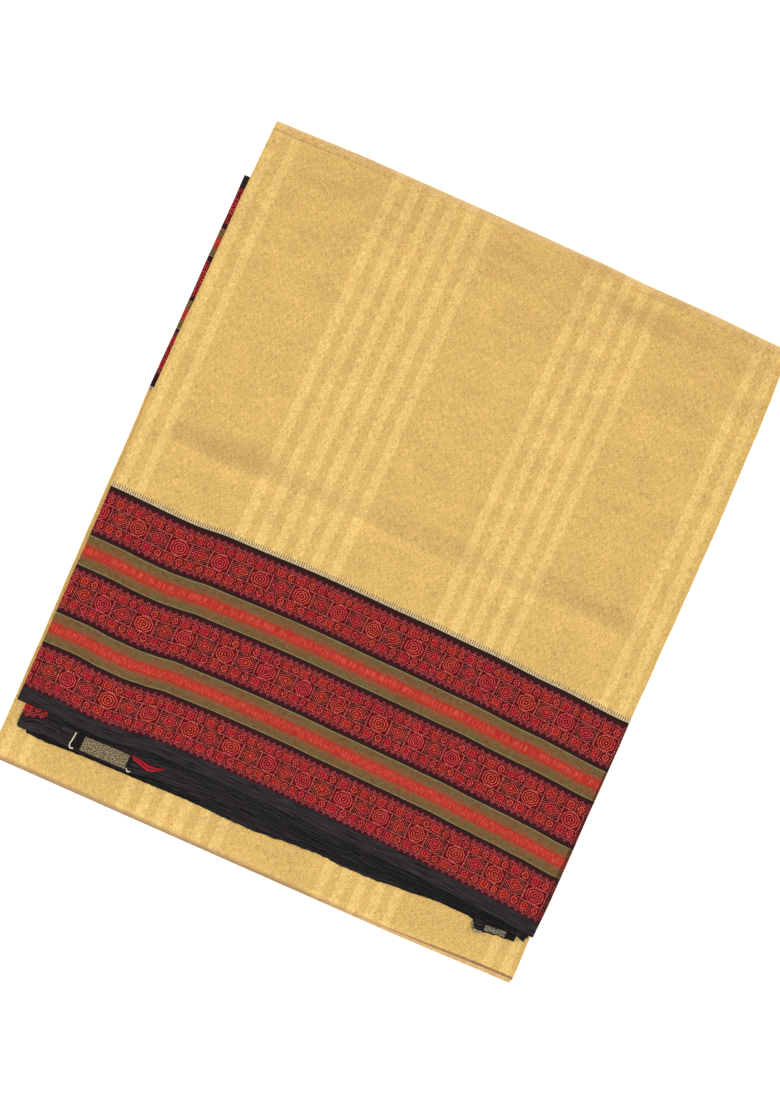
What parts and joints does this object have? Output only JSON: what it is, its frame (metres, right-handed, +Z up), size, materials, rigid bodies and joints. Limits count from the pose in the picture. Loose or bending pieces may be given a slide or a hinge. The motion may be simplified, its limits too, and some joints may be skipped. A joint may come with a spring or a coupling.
{
  "type": "folded silk saree",
  "caption": "Silk saree folded flat into a letter-fold packet, gold with lighter stripes, with a woven red, olive and black border and fanned black selvedges.",
  "frame": {"origin": "centre of the packet's outline, on the surface that it rests on", "axes": "+X across the packet, along the cloth's length; +Y from the bottom fold to the top fold; +Z up, out of the front flap"},
  "size_m": [0.3498, 0.428, 0.0218],
  "materials": {
    "gold_silk": "soft slubbed silk with a low sheen",
    "red_border": "extra-warp silk pattern on black",
    "black_selvedge": "plain black silk, matt",
    "khaki_weave": "coarse narrow weave",
    "pin_brass": "bright wire"
  },
  "bodies": {
    "root": {"front_body": "gold_silk", "front_border": "red_border", "back_body": "gold_silk", "lower_body": "gold_silk", "inner_border": "red_border", "hidden_plies": "gold_silk", "selvedge_ply_1": "black_selvedge", "selvedge_ply_2": "black_selvedge", "selvedge_ply_3": "black_selvedge", "selvedge_ply_4": "black_selvedge", "left_tab": "khaki_weave", "right_tab": "khaki_weave", "tab_pin": "pin_brass"}
  },
  "joints": []
}
